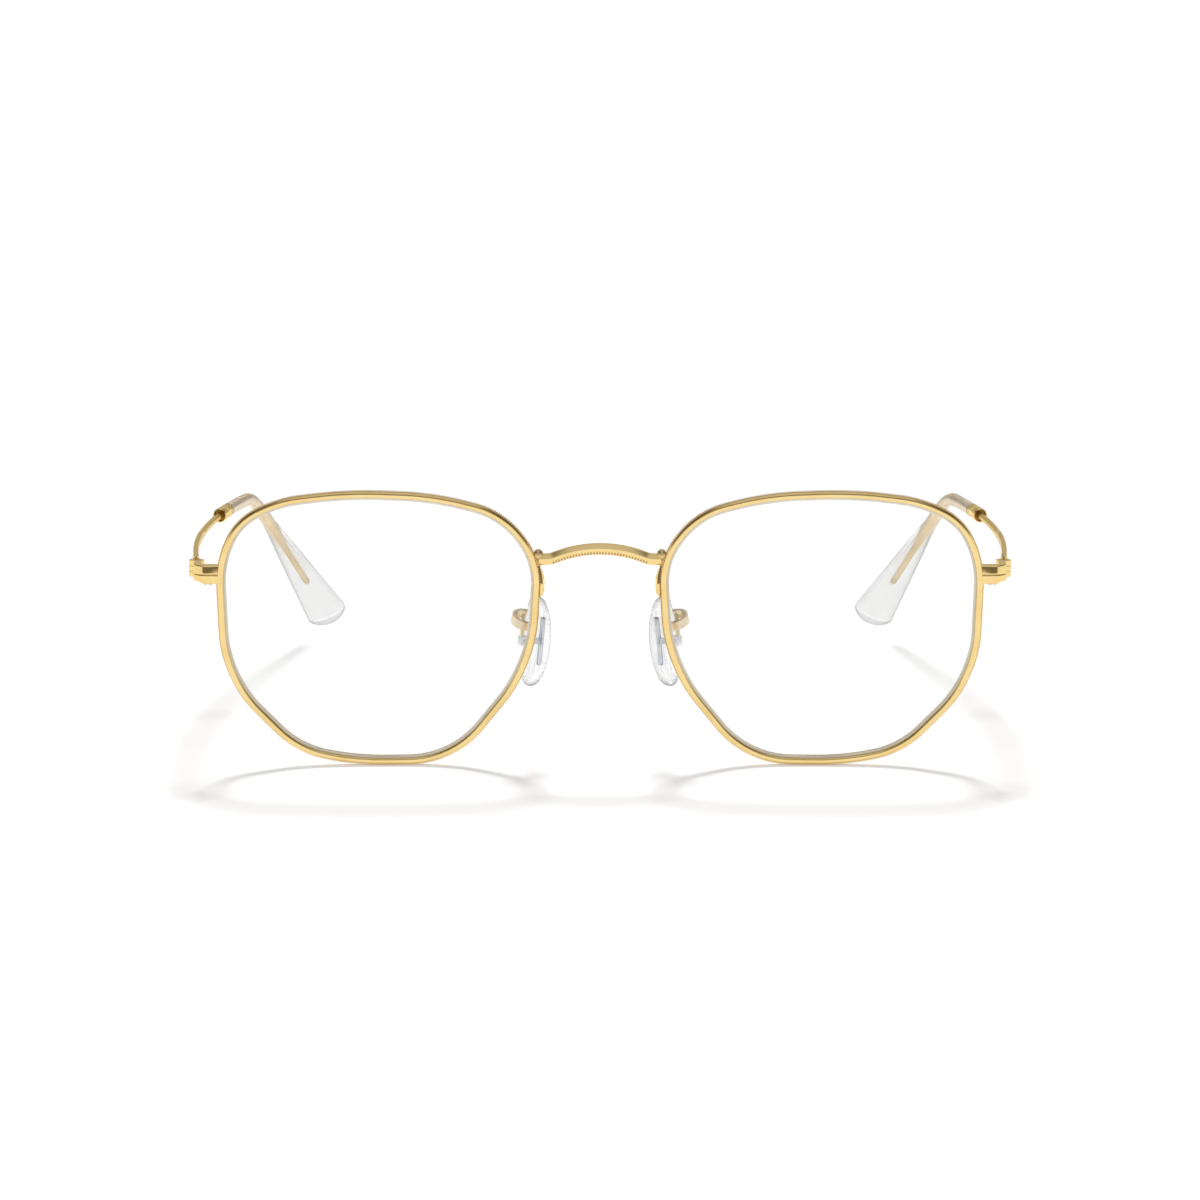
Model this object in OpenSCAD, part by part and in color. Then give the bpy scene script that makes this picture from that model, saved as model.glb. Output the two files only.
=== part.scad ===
// Wire eyeglasses with softened six-sided rims, clear lenses, folding arms
// and rocking nose pads. Front faces -Y, arms run back along +Y, up is +Z.
// Left is the -X side. Everything stands on z = 0.

/* [Lenses] */
// lens width, edge to edge in its box
lens_w = 51; // [46:0.5:56]
// lens height, edge to edge in its box
lens_h = 43.5; // [38:0.5:48]
// gap between the two lens boxes
bridge_gap = 21; // [18:0.5:24]
// lens thickness
lens_t = 1.4; // [1.2:0.1:1.5]

/* [Rims] */
// how far the rim stands out past the lens edge
rim_cover = 0.85; // [0.7:0.05:1.1]
// rim size from front to back
rim_depth = 2.1; // [2:0.1:2.6]

/* [Bridge] */
// height of the bridge bar
bridge_h = 1.8; // [1.4:0.1:2.2]
// how far the middle of the bridge rises over its ends
bridge_rise = 1.7; // [1.3:0.1:2.2]

/* [Arms] */
// arm length along the wire, hinge pin to tip
temple_l = 145; // [135:1:155]
// how far the bend turns down behind the ear
ear_bend = 33.5; // [30:0.5:38]
// bend radius behind the ear
ear_r = 21; // [16:0.5:26]
// wire diameter
wire_d = 1.2; // [1.1:0.05:1.4]
// outer diameter of the clear sleeve
sleeve_d = 2.34; // [2.2:0.02:2.6]
// width of the flat end of the sleeve
paddle_w = 7.4; // [6.4:0.2:8]

/* [Hinges] */
// barrel diameter
barrel_d = 2.5; // [2.4:0.05:2.8]
// barrel height
barrel_h = 2.7; // [2.5:0.1:3]
// distance of the hinge pin behind the front face
hinge_back = 8; // [7.5:0.1:9]
// distance of the hinge pin outside the rim
hinge_out = 3.6; // [3.4:0.1:4.2]

/* [Nose pads] */
// pad length
pad_l = 14.8; // [12:0.2:15.4]
// pad width
pad_w = 7; // [6:0.2:7.4]
// angle the pads open towards the back
pad_splay = 27; // [20:1:32]

/* [Hidden] */
$fn = 64;

// colours by material
gold = [0.86, 0.68, 0.36];
silver = [0.8, 0.8, 0.83];
clear = [0.86, 0.9, 0.92, 0.35];

// gaps: soldered faces, seated lens, turning pin, sliding faces
seat_gap = 0.02;
lens_gap = 0.03;
pin_gap = 0.03;
knuckle_gap = 0.05;
// one sweep is this much slimmer where it runs into the next
step = 0.01;
// length of one sweep inside the next
lap = 0.3;

// rim outline, seen from the front, as shares of the half box
// The nose side is +X. Corners are rounded over a share of the shorter side.
corner_share = 0.47;
corners = [
  [1.01, 0.514], [0.781, 0.853], [0.355, 0.983], [-0.187, 1.007],
  [-0.628, 0.945], [-0.889, 0.793], [-1.005, 0.477], [-0.975, -0.374],
  [-0.51, -0.917], [-0.14, -1.002], [0.469, -0.994], [0.97, -0.269]
];
corner_n = len(corners);

function corner(i) = let (c = corners[(i + corner_n) % corner_n])
  [c[0] * lens_w / 2, c[1] * lens_h / 2];
function side(i) = corner(i + 1) - corner(i);
function side_dir(i) = side(i) / norm(side(i));
function left_of(v) = [-v[1], v[0]];
function angle_of(v) = atan2(v[1], v[0]);
function cut(i) = corner_share * min(norm(side(i - 1)), norm(side(i)));
function turn(i) = asin(cross(side_dir(i - 1), side_dir(i)));
function round_r(i) = cut(i) / tan(turn(i) / 2);
function round_start(i) = corner(i) - side_dir(i - 1) * cut(i);
function round_end(i) = corner(i) + side_dir(i) * cut(i);
function round_c(i) = round_start(i) + left_of(side_dir(i - 1)) * round_r(i);
function is_low(i) = side_dir(i - 1)[1] < 0 && side_dir(i)[1] >= 0;

// closed outline drawn with short chords, grown outwards by grow
chord_n = 12;
function outline(grow) = [
  for (i = [0 : corner_n - 1], k = [0 : chord_n])
    let (
      reach = (round_r(i) + grow) / (grow > 0 ? cos(turn(i) / chord_n / 2) : 1),
      a = angle_of(round_start(i) - round_c(i)) + turn(i) * k / chord_n
    )
    round_c(i) + reach * [cos(a), sin(a)]
];

// lowest point of the lens edge, measured from the lens middle
lens_low = min([for (i = [0 : corner_n - 1]) is_low(i) ? round_c(i)[1] - round_r(i) : 0]);
nose_x = bridge_gap / 2;
lens_x = lens_w / 2 + nose_x;
lens_z = rim_cover - lens_low;

// rim section
lip_front = 0.4;
lip_back = 0.6;
lip_t = 0.6;
rim_bevel = 0.35;
tongue_t = rim_depth - 2 * lip_t - 2 * lens_gap;
tongue_in = 1.2;

// points as [outwards, forwards], slimmer by s on every face
function rim_section(s) = [
  [-lip_front + s, -rim_bevel], [-lip_front / 2, -s], [rim_cover / 2, -s],
  [rim_cover - s, -rim_bevel], [rim_cover - s, rim_bevel - rim_depth],
  [rim_cover / 2, s - rim_depth], [rim_bevel - lip_back, s - rim_depth],
  [s - lip_back, rim_bevel / 2 - rim_depth], [s - lip_back, lip_t - rim_depth - s],
  [lens_gap + s, lip_t - rim_depth - s], [lens_gap + s, s - lip_t],
  [s - lip_front, s - lip_t]
];

// closing blocks and hinge
// the rim is split across its outer side, this far above the lens middle
split_up = 0.4046 * lens_h / 2;
split_gap = 0.08;
block_depth = 2.4;
block_front = 0.1;
block_up = 1.5;
block_down = 1.45;
block_round = 2.1;
block_lap = 0.2;
split_z = lens_z + split_up;
strip_t = 1.15;
close_screw_out = 1.35;
close_screw_d = 1.1;
close_head_d = 1.6;
close_head_h = 0.5;
close_head_sink = 0.15;

rim_side_x = lens_x + lens_w / 2 + rim_cover;
hinge_x = rim_side_x + hinge_out;
hinge_z = split_z;
strip_x = hinge_x + 0.15;
hinge_foot = 0.55;
hinge_foot_y = hinge_back - barrel_d / 2 - hinge_foot;
// both pins lean to one side, so one folded arm lies over the other
hinge_lean = 1.3;
knuckle_h = (barrel_h - 2 * knuckle_gap) / 3;
pin_d = 1.2;
pin_head_d = 1.7;
pin_head_h = 0.35;
slot_w = 0.25;
slot_d = 0.2;
leaf_tail = 5;
leaf_t = 1.1;

// arm: bow, bend and flat end
wire_up = 1.3;
wire_z = hinge_z + wire_up;
arm_out = 5.4;
arm_down = 1.6;
bow_r = 350;
bend_roll = 11.2;
paddle_roll = 16;
paddle_t = 1.8;
wire_start = 2.1;
bar_end = 36;
bar_t = 0.95;
bar_h = 1.35;
ferrule_at = 63.5;
ferrule_l = 7;
ferrule_d = 2.46;
ferrule_mouth = 1.2;
core_back = 16;
neck_at = 4;

function rot_x(a) = [[1, 0, 0], [0, cos(a), -sin(a)], [0, sin(a), cos(a)]];
function rot_y(a) = [[cos(a), 0, sin(a)], [0, 1, 0], [-sin(a), 0, cos(a)]];
function rot_z(a) = [[cos(a), -sin(a), 0], [sin(a), cos(a), 0], [0, 0, 1]];

// length of the bow for a given straight run after the bend
function bow_l(run) = temple_l - ear_r * ear_bend * PI / 180 - run - paddle_w / 2;
function bow_turn(run) = bow_l(run) / bow_r * 180 / PI;
arm_start = [-hinge_x, hinge_back, wire_z];
arm_rot = rot_z(arm_out) * rot_x(-arm_down);
function bow_at(a) = bow_r * [1 - cos(a), sin(a), 0];
function bend_at(run) = arm_start + arm_rot * bow_at(bow_turn(run));
function bend_rot(run) = arm_rot * rot_z(-bow_turn(run)) * rot_y(-bend_roll);
function run_at(run) = bend_at(run)
  + bend_rot(run) * (ear_r * [0, sin(ear_bend), cos(ear_bend) - 1]);
function run_rot(run) = bend_rot(run) * rot_x(-ear_bend);
function paddle_rot(run) = run_rot(run) * rot_y(-paddle_roll);
function paddle_c(run) = run_at(run) + run_rot(run) * [0, run, 0];

// reach of the round end of the paddle along one axis
function paddle_reach(run, axis) = let (m = paddle_rot(run)[axis])
  paddle_w / 2 * norm([m[0], m[1]]) + paddle_t / 2 * abs(m[2]);
function tip_low(run) = paddle_c(run)[2] - paddle_reach(run, 2);
// straight run that brings the tip down to the ground
function find_run(run, tries) = tries == 0 ? run
  : find_run(run + tip_low(run) / sin(ear_bend), tries - 1);
tip_run = find_run(36, 14);

depth_all = paddle_c(tip_run)[1] + paddle_reach(tip_run, 1);
front_y = -depth_all / 2;
core_run = tip_run + paddle_w / 2 - core_back;

// bridge: the arch runs into a short reversed curve at each end
bridge_depth = 1.7;
bridge_half = nose_x - 1.6;
bridge_up = 0.5195 * lens_h / 2;
bridge_ends_z = lens_z + bridge_up;
bridge_turn = 2 * atan(bridge_rise / bridge_half);
flare_r = 4.2;
bridge_r = bridge_half / sin(bridge_turn) - flare_r;
bridge_bevel = 0.35;
knob_x = nose_x - 0.45;
knob_up = 0.9;
foot_x = nose_x - 1.45;
foot_drop = 0.6;
foot_l = 5.2;
knob_d = 1.57;

// nose pads
pad_t = 1.8;
pad_bow_r = 26;
pad_lean = 6;
box_down = 3.1;
box_at = [-nose_x - 1.75, 7.1, lens_z - box_down];
box_w = 1.6;
box_h = 1.5;
box_front = 0.65;
box_rear = 0.95;
tab_t = 0.7;
tab_r = 0.54;
tab_slack = 0.1;
pad_off = 2.5;
insert_t = 0.5;
insert_w = 3;
insert_l = 9;
pad_screw_d = 0.5;
pad_screw_head_d = 1.05;
pad_screw_head_h = 0.3;
arm_wire_t = 0.6;
arm_wire_h = 1.5;
loop_c = [-nose_x - 1.8, 6, lens_z + 0.55];
loop_r = 1.9;
loop_tilt_back = 21;
loop_tilt_side = 14;
loop_neck_r = 0.9;
post_d = 0.8;
post_back = 0.6;
post_turn = 100;
post_foot = box_at + rot_z(pad_splay) * [-post_back, 0, box_h / 2 - 0.1];
post_head = loop_c + rot_y(loop_tilt_side) * rot_x(loop_tilt_back)
  * (loop_r * [cos(post_turn), sin(post_turn), 0]);

// everything is drawn on the left and mirrored for the right
module on_side(s) {
  if (s < 0)
    translate([0, front_y, 0]) children();
  else
    mirror([1, 0, 0]) translate([0, front_y, 0]) children();
}

// flat drawing of the front: X outwards to the nose, Y up, depth goes back
module on_front() {
  translate([-lens_x, 0, lens_z]) rotate([90, 0, 0]) children();
}

// solid block filling one rim, to trim the pieces that meet it
module rim_space() {
  on_front() translate([0, 0, -rim_depth - 0.5])
    linear_extrude(rim_depth + 1) polygon(outline(rim_cover + seat_gap / 2));
}

module rim_ring() {
  for (i = [0 : corner_n - 1]) {
    run = norm(round_start(i + 1) - round_end(i));
    translate(round_c(i)) rotate(angle_of(round_start(i) - round_c(i)))
      rotate_extrude(angle = turn(i)) translate([round_r(i), 0]) polygon(rim_section(0));
    translate(round_start(i + 1) + side_dir(i) * lap) rotate(angle_of(-left_of(side_dir(i))))
      rotate([90, 0, 0]) linear_extrude(run + 2 * lap) polygon(rim_section(step));
  }
}

module rim(s) {
  color(gold) on_side(s) difference() {
    on_front() rim_ring();
    translate([-rim_side_x - 1, -1, split_z - split_gap / 2]) cube([8, 5, split_gap]);
  }
}

module lens(s) {
  lens_mid = rim_depth / 2;
  lens_r = 680;
  color(clear) on_side(s) union() {
    on_front() translate([0, 0, -lens_mid - tongue_t / 2]) difference() {
      linear_extrude(tongue_t) polygon(outline(0));
      translate([0, 0, -1]) linear_extrude(tongue_t + 2) polygon(outline(-tongue_in - 0.6));
    }
    intersection() {
      on_front() translate([0, 0, -rim_depth - 2])
        linear_extrude(rim_depth + 4) polygon(outline(-lip_back - lens_gap));
      difference() {
        translate([-lens_x, lens_mid - lens_t / 2 + lens_r, lens_z]) sphere(lens_r, $fn = 200);
        translate([-lens_x, lens_mid + lens_t / 2 + lens_r, lens_z]) sphere(lens_r, $fn = 200);
      }
    }
  }
}

module bridge_section(s) {
  h = bridge_h / 2 - s;
  d = bridge_depth / 2 - s;
  b = bridge_bevel;
  polygon([[h - b, -d], [h, b - d], [h, d - b], [h - b, d],
    [b - h, d], [-h, d - b], [-h, b - d], [b - h, -d]]);
}

module bridge_half_left() {
  mid_y = block_front + bridge_depth / 2;
  knob_y = block_front + 0.2;
  difference() {
    union() {
      translate([0, mid_y, bridge_ends_z + bridge_rise - bridge_r]) rotate([90, 0, 0])
        rotate(90) rotate_extrude(angle = bridge_turn + lap) translate([bridge_r, 0]) bridge_section(0);
      translate([-bridge_half, mid_y, bridge_ends_z + flare_r]) rotate([90, 0, 0])
        rotate(-90) rotate_extrude(angle = bridge_turn) translate([flare_r, 0]) bridge_section(step);
      translate([-bridge_half - 1, mid_y, bridge_ends_z]) rotate([90, 0, 90])
        linear_extrude(1 + lap) rotate(90) bridge_section(2 * step);
      // knob curling back over the rim
      translate([-knob_x, knob_y, bridge_ends_z + knob_up])
        rotate([-90, 0, 0]) cylinder(d = knob_d, h = rim_depth);
      translate([-knob_x, knob_y + rim_depth, bridge_ends_z + knob_up])
        sphere(d = knob_d + step);
      // foot down the side of the rim
      translate([-foot_x - 2, knob_y, bridge_ends_z - foot_drop - foot_l])
        cube([2, bridge_depth - 0.4, foot_l + 0.5]);
    }
    rim_space();
  }
}

module bridge() {
  color(gold) translate([0, front_y, 0]) union() {
    bridge_half_left();
    mirror([1, 0, 0]) bridge_half_left();
  }
}

// plan of the closing blocks with the rounded front corner
module block_plan(back) {
  x_out = strip_x;
  r = block_round;
  translate([-x_out, block_front + r]) square([strip_t, back - block_front - r]);
  translate([-x_out + r, block_front]) square([x_out - rim_side_x - r + 1.6, block_depth]);
  intersection() {
    translate([-x_out + r, block_front + r]) circle(r - step / 2);
    translate([-x_out, block_front]) square([r + block_lap, r + block_lap]);
  }
}

module close_hole(d, z, h) {
  translate([-rim_side_x - close_screw_out, block_front + block_depth / 2, z])
    cylinder(d = d, h = h);
}

module endpiece(s) {
  low = split_z + split_gap / 2;
  strip_y = block_front + block_depth + split_gap;
  color(gold) on_side(s) difference() {
    union() {
      translate([0, 0, low]) linear_extrude(block_up) block_plan(hinge_foot_y);
      translate([-strip_x, strip_y, hinge_z - barrel_h / 2])
        cube([strip_t, hinge_foot_y - strip_y, barrel_h / 2 + 0.5]);
    }
    rim_space();
    close_hole(close_screw_d + seat_gap, low - 1, 1 + block_up - 0.3);
  }
}

module closing_block(s) {
  top = split_z - split_gap / 2;
  bottom = top - block_down;
  color(gold) on_side(s) difference() {
    intersection() {
      translate([0, 0, bottom]) linear_extrude(block_down) block_plan(block_depth + block_front);
      translate([0, block_front - 1, 0]) rotate([90, 0, 0]) translate([0, 0, -block_depth - 2])
        linear_extrude(block_depth + 2) polygon([
          [-strip_x - 1, top + 1], [-rim_side_x + 3, top + 1], [-rim_side_x + 3, bottom - 0.2],
          [-rim_side_x - 1.9, bottom - 0.2], [-rim_side_x - 1.9, bottom], [-strip_x - 1, bottom + 0.9]
        ]);
    }
    rim_space();
    close_hole(close_screw_d + 2 * pin_gap, bottom - 1, block_down + 2);
    close_hole(close_head_d + 2 * pin_gap, bottom - 1, 1 + close_head_h - close_head_sink);
  }
}

module closing_screw(s) {
  bottom = split_z - split_gap / 2 - block_down - close_head_sink;
  color(gold) on_side(s) difference() {
    union() {
      close_hole(close_head_d, bottom, close_head_h);
      close_hole(close_screw_d, bottom, block_down + split_gap + block_up - 0.4);
    }
    close_slot(bottom);
  }
}

module close_slot(z) {
  translate([-rim_side_x - close_screw_out - slot_w / 2, block_front + block_depth / 2 - 1, z - 1])
    cube([slot_w, 2, 1 + slot_d]);
}

// hinge pin line of one side; both pins lean the same way in space
module on_pin(s) {
  translate([-hinge_x, hinge_back, hinge_z]) rotate([0, -s * hinge_lean, 0]) children();
}

module hinge_front(s) {
  top = barrel_h / 2;
  color(gold) on_side(s) difference() {
    union() {
      on_pin(s) translate([0, 0, -top]) cylinder(d = barrel_d, h = knuckle_h);
      on_pin(s) translate([0, 0, top - knuckle_h]) cylinder(d = barrel_d, h = knuckle_h);
      translate([-strip_x, hinge_foot_y, hinge_z - top + 0.05])
        cube([strip_t, 1.4, barrel_h - 0.1]);
    }
    on_pin(s) translate([0, 0, -knuckle_h / 2 - knuckle_gap])
      cylinder(r = barrel_d / 2 + 0.12, h = knuckle_h + 2 * knuckle_gap);
    on_pin(s) translate([0, 0, -top - 1]) cylinder(d = pin_d + seat_gap, h = barrel_h + 2);
    on_pin(s) translate([0, 0, top - pin_head_h - 0.05])
      cylinder(d = pin_head_d + 2 * pin_gap, h = 1);
  }
}

module hinge_screw(s) {
  top = barrel_h / 2 - 0.03;
  color(gold) on_side(s) on_pin(s) difference() {
    union() {
      translate([0, 0, 0.04 - barrel_h / 2]) cylinder(d = pin_d, h = barrel_h - 0.2);
      translate([0, 0, top - pin_head_h]) cylinder(d = pin_head_d, h = pin_head_h);
    }
    translate([-1, -slot_w / 2, top - slot_d]) cube([2, slot_w, 1]);
  }
}

module hinge_temple(s) {
  tail_y = barrel_d / 2 + 0.2;
  color(gold) on_side(s) difference() {
    union() {
      on_pin(s) translate([0, 0, -knuckle_h / 2]) cylinder(d = barrel_d, h = knuckle_h);
      on_pin(s) translate([-leaf_t / 2, 0.7, -knuckle_h / 2]) cube([leaf_t, 1.4, knuckle_h]);
      translate(arm_start) multmatrix(arm_rot)
        translate([-leaf_t / 2, tail_y, -wire_z + hinge_z - barrel_h / 2 + 0.3])
          cube([leaf_t, leaf_tail - tail_y, wire_z - hinge_z + barrel_h / 2 - 0.3]);
    }
    on_pin(s) translate([0, 0, -2]) cylinder(d = pin_d + 2 * pin_gap, h = 4);
    arm_bar(seat_gap);
  }
}

// flattened first stretch of the wire, grown by grow
module arm_bar(grow) {
  a0 = wire_start / bow_r * 180 / PI;
  a1 = bar_end / bow_r * 180 / PI;
  along_bow(a0 - grow / 4, a1) square([bar_t + 2 * grow, bar_h + 2 * grow], center = true);
}

// sweeps a flat shape along the bow from angle a0 to a1
module along_bow(a0, a1) {
  translate(arm_start) multmatrix(arm_rot) translate([bow_r, 0, 0])
    rotate([0, 0, 180 - a1]) rotate_extrude(angle = a1 - a0, $fn = 720)
      translate([bow_r, 0]) children();
}

// sweeps a round rod through the bend
module along_bend(d) {
  translate(bend_at(tip_run)) multmatrix(bend_rot(tip_run)) translate([0, 0, -ear_r])
    rotate([0, -90, 0]) rotate_extrude(angle = ear_bend, $fn = 180) translate([ear_r, 0]) circle(d = d);
}

// frame of the straight run after the bend
module on_run() {
  translate(run_at(tip_run)) multmatrix(run_rot(tip_run)) children();
}

module run_rod(d, l) {
  on_run() translate([0, -lap, 0]) rotate([-90, 0, 0]) cylinder(d = d, h = l + lap);
}

module temple_wire(s) {
  a1 = bar_end / bow_r * 180 / PI;
  a2 = bow_turn(tip_run) + lap / bow_r * 180 / PI;
  color(gold) on_side(s) union() {
    arm_bar(0);
    along_bow(a1 - 0.1, a2) circle(d = wire_d - step);
    along_bend(wire_d);
    run_rod(wire_d - step, core_run - wire_d / 2);
    on_run() translate([0, core_run - wire_d / 2, 0]) sphere(d = wire_d);
  }
}

module ferrule(s) {
  a0 = ferrule_at / bow_r * 180 / PI;
  a1 = (ferrule_at + ferrule_l) / bow_r * 180 / PI;
  mouth = ferrule_mouth / bow_r * 180 / PI;
  color(gold) on_side(s) difference() {
    along_bow(a0, a1) circle(d = ferrule_d);
    along_bow(a0 - 1, a1 + 1) circle(d = wire_d + seat_gap);
    along_bow(a0 - 1, a0 + mouth) circle(d = wire_d + 0.75);
  }
}

module paddle_plan() {
  r = paddle_w / 2;
  neck = sleeve_d / 2 - 0.12;
  polygon([[-neck, neck_at], [neck, neck_at], [r * 0.985, tip_run], [-r * 0.985, tip_run]]);
  translate([0, tip_run]) circle(r, $fn = 96);
}

module temple_tip(s) {
  a1 = (ferrule_at + ferrule_l) / bow_r * 180 / PI;
  a2 = bow_turn(tip_run) + lap / bow_r * 180 / PI;
  bore = wire_d + 2 * pin_gap;
  color(clear) on_side(s) difference() {
    union() {
      along_bow(a1, a2) circle(d = sleeve_d - step);
      along_bend(sleeve_d);
      run_rod(sleeve_d - step, core_run);
      on_run() translate([0, core_run, 0]) sphere(d = sleeve_d);
      on_run() rotate([0, -paddle_roll, 0]) translate([0, 0, -paddle_t / 2])
        linear_extrude(paddle_t) paddle_plan();
    }
    along_bow(a1 - 0.1, a2) circle(d = bore);
    along_bend(bore + step);
    run_rod(bore, core_run - wire_d / 2);
    on_run() translate([0, core_run - wire_d / 2, 0]) sphere(d = bore + step);
  }
}

// frame of the loop that carries a nose pad
module on_loop() {
  translate(loop_c) rotate([loop_tilt_back, loop_tilt_side, 0]) children();
}

module pad_arm(s) {
  color(gold) on_side(s) difference() {
    union() {
      on_loop() {
        // the half turn and the two short legs
        rotate([0, 0, 90]) rotate_extrude(angle = 180) translate([loop_r, 0])
          square([arm_wire_t, arm_wire_h], center = true);
        translate([-0.1, loop_r - arm_wire_t / 2 + step, step - arm_wire_h / 2])
          cube([0.25, arm_wire_t - 2 * step, arm_wire_h - 2 * step]);
        translate([-0.1, -loop_r - arm_wire_t / 2 + step, step - arm_wire_h / 2])
          cube([1.2, arm_wire_t - 2 * step, arm_wire_h - 2 * step]);
        // quarter turn forwards to the rim
        translate([1, -loop_r - loop_neck_r, 0]) rotate_extrude(angle = 90)
          translate([loop_neck_r, 0]) square([arm_wire_t, arm_wire_h], center = true);
        translate([1 + loop_neck_r - arm_wire_t / 2 + step, -loop_r - loop_neck_r - 3, step - arm_wire_h / 2])
          cube([arm_wire_t - 2 * step, 3.1, arm_wire_h - 2 * step]);
      }
      // post down to the box
      pad_post();
    }
    translate([-30, rim_depth + seat_gap - 10, 0]) cube([40, 10, 60]);
    on_box() pad_box_body();
  }
}

// from the loop down to the back wall of the box
module pad_post() {
  v = post_head - post_foot;
  translate(post_foot) rotate([0, acos(v[2] / norm(v)), angle_of(v)])
    cylinder(d = post_d, h = norm(v));
}

// frame of the box: X to the pad, Y along the screw to the back, Z up the pad
module on_box() {
  translate(box_at) rotate([0, 0, pad_splay]) rotate([0, pad_lean, 0]) children();
}

module pad_box_body() {
  difference() {
    translate([-box_rear, -box_w / 2, -box_h / 2]) cube([box_rear + box_front, box_w, box_h]);
    translate([-tab_r - tab_slack, -tab_t / 2 - pin_gap, -box_h / 2 - 1])
      cube([box_rear + box_front, tab_t + 2 * pin_gap, box_h + 2]);
  }
}

module pad_box(s) {
  color(silver) on_side(s) on_box() difference() {
    pad_box_body();
    rotate([90, 0, 0]) cylinder(d = pad_screw_d + seat_gap, h = box_w + 2, center = true);
  }
}

module pad_screw(s) {
  color(silver) on_side(s) on_box() difference() {
    union() {
      translate([0, box_w / 2 - 0.05, 0]) rotate([90, 0, 0]) cylinder(d = pad_screw_d, h = box_w);
      translate([0, -box_w / 2, 0]) rotate([90, 0, 0])
        cylinder(d = pad_screw_head_d, h = pad_screw_head_h);
    }
    translate([-1, -box_w / 2 - pad_screw_head_h - 1, -slot_w / 2])
      cube([2, 1.15, slot_w]);
  }
}

// bowed plate with round ends, long way along Z, from radius r - t to r of the bow
module bowed_plate(l, w, t, r) {
  deep = pad_off + pad_t;
  intersection() {
    union() {
      translate([0, -w / 2, w / 2 - l / 2]) cube([deep, w, l - w]);
      for (z = [w / 2 - l / 2, l / 2 - w / 2])
        translate([0, 0, z]) rotate([0, 90, 0]) cylinder(d = w - step, h = deep);
    }
    translate([pad_off + pad_t / 2 - pad_bow_r, 0, 0]) difference() {
      sphere(r, $fn = 128);
      sphere(r - t, $fn = 128);
    }
  }
}

// plate inside the pad and the tab that runs from it into the box
module insert_body(grow) {
  bowed_plate(insert_l + 2 * grow, insert_w + 2 * grow, insert_t + 2 * grow,
    pad_bow_r - pad_t / 2 + insert_t / 2 + grow);
  translate([0, -tab_t / 2 - grow, -tab_r - grow])
    cube([pad_off, tab_t + 2 * grow, 2 * tab_r + 2 * grow]);
}

module pad_insert(s) {
  color(silver) on_side(s) on_box() difference() {
    union() {
      insert_body(0);
      rotate([90, 0, 0]) cylinder(r = tab_r + step, h = tab_t, center = true);
    }
    rotate([90, 0, 0]) cylinder(d = pad_screw_d + 2 * pin_gap, h = 4, center = true);
  }
}

module nose_pad(s) {
  color(clear) on_side(s) on_box() difference() {
    bowed_plate(pad_l, pad_w, pad_t, pad_bow_r);
    insert_body(seat_gap);
  }
}

module rim_left() rim(-1);
module rim_right() rim(1);
module lens_left() lens(-1);
module lens_right() lens(1);
module endpiece_left() endpiece(-1);
module endpiece_right() endpiece(1);
module closing_block_left() closing_block(-1);
module closing_block_right() closing_block(1);
module closing_screw_left() closing_screw(-1);
module closing_screw_right() closing_screw(1);
module hinge_front_left() hinge_front(-1);
module hinge_front_right() hinge_front(1);
module hinge_screw_left() hinge_screw(-1);
module hinge_screw_right() hinge_screw(1);
module hinge_temple_left() hinge_temple(-1);
module hinge_temple_right() hinge_temple(1);
module temple_wire_left() temple_wire(-1);
module temple_wire_right() temple_wire(1);
module ferrule_left() ferrule(-1);
module ferrule_right() ferrule(1);
module temple_tip_left() temple_tip(-1);
module temple_tip_right() temple_tip(1);
module pad_arm_left() pad_arm(-1);
module pad_arm_right() pad_arm(1);
module pad_box_left() pad_box(-1);
module pad_box_right() pad_box(1);
module pad_screw_left() pad_screw(-1);
module pad_screw_right() pad_screw(1);
module pad_insert_left() pad_insert(-1);
module pad_insert_right() pad_insert(1);
module nose_pad_left() nose_pad(-1);
module nose_pad_right() nose_pad(1);

rim_left();
rim_right();
lens_left();
lens_right();
bridge();
endpiece_left();
endpiece_right();
closing_block_left();
closing_block_right();
closing_screw_left();
closing_screw_right();
hinge_front_left();
hinge_front_right();
hinge_screw_left();
hinge_screw_right();
hinge_temple_left();
hinge_temple_right();
temple_wire_left();
temple_wire_right();
ferrule_left();
ferrule_right();
temple_tip_left();
temple_tip_right();
pad_arm_left();
pad_arm_right();
pad_box_left();
pad_box_right();
pad_screw_left();
pad_screw_right();
pad_insert_left();
pad_insert_right();
nose_pad_left();
nose_pad_right();
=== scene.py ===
import math
import bpy
import bmesh
from mathutils import Matrix, Vector


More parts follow.
